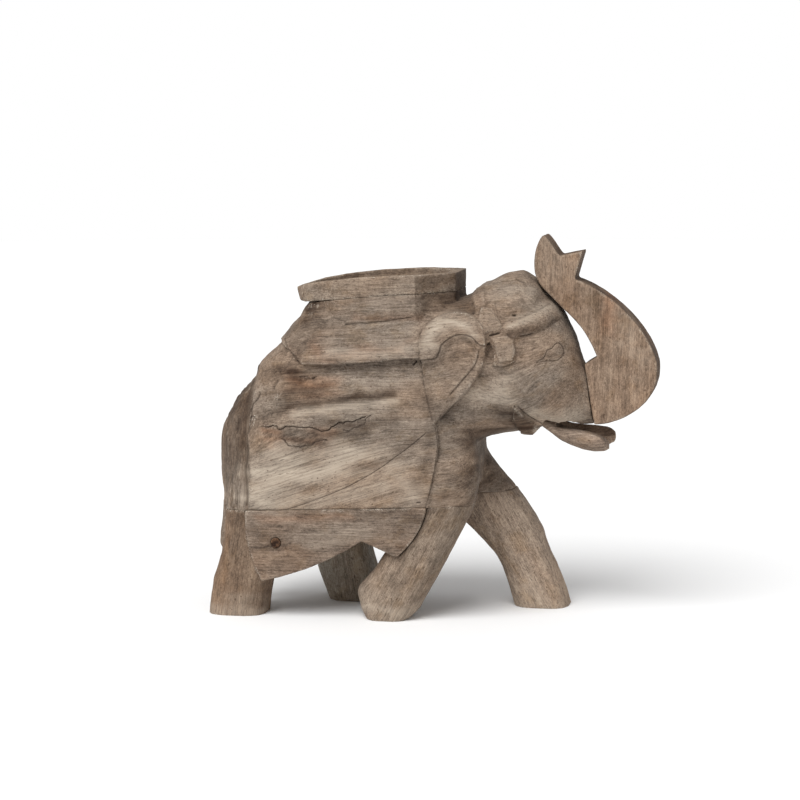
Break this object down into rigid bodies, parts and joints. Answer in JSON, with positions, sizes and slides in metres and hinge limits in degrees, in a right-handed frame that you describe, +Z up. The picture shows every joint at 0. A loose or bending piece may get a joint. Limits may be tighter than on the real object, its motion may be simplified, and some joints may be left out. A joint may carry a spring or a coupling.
{
  "type": "carved wooden elephant",
  "caption": "Walking elephant carved in wood, trunk raised to its brow with a forked tip, draped blanket with a hanging hem, and a saddle with a shallow dish on top.",
  "frame": {"origin": "centre of the object's box, on the plane that the feet stand on", "axes": "+X forwards, towards the trunk; +Y to the elephant's left; +Z up"},
  "size_m": [0.4444, 0.1608, 0.3775],
  "materials": {
    "block_wood": "dry, weathered, hand carved",
    "board_wood": "dry, weathered, hand carved",
    "trunk_wood": "dry, sanded",
    "leg_wood": "dry, weathered, hand carved",
    "dowel_wood": "turned, unfinished",
    "peg_wood": "dark end grain"
  },
  "bodies": {
    "root": {"body": "block_wood", "saddle_rim": "board_wood", "trunk": "trunk_wood", "lower_lip": "block_wood", "tail_tip": "leg_wood", "right_hem_board": "board_wood", "left_hem_board": "board_wood", "right_fore_leg": "leg_wood", "left_fore_leg": "leg_wood", "right_hind_leg": "leg_wood", "left_hind_leg": "leg_wood", "right_fore_leg_dowel_1": "dowel_wood", "right_fore_leg_dowel_2": "dowel_wood", "left_fore_leg_dowel_1": "dowel_wood", "left_fore_leg_dowel_2": "dowel_wood", "right_hind_leg_dowel_1": "dowel_wood", "right_hind_leg_dowel_2": "dowel_wood", "left_hind_leg_dowel_1": "dowel_wood", "left_hind_leg_dowel_2": "dowel_wood", "right_hem_dowel_1": "dowel_wood", "right_hem_dowel_2": "dowel_wood", "left_hem_dowel_1": "dowel_wood", "left_hem_dowel_2": "dowel_wood", "right_hem_peg": "peg_wood", "left_hem_peg": "peg_wood", "trunk_dowel_1": "dowel_wood", "trunk_dowel_2": "dowel_wood", "lower_lip_dowel": "dowel_wood", "tail_dowel": "dowel_wood", "saddle_rim_dowel_1": "dowel_wood", "saddle_rim_dowel_2": "dowel_wood"}
  },
  "joints": []
}
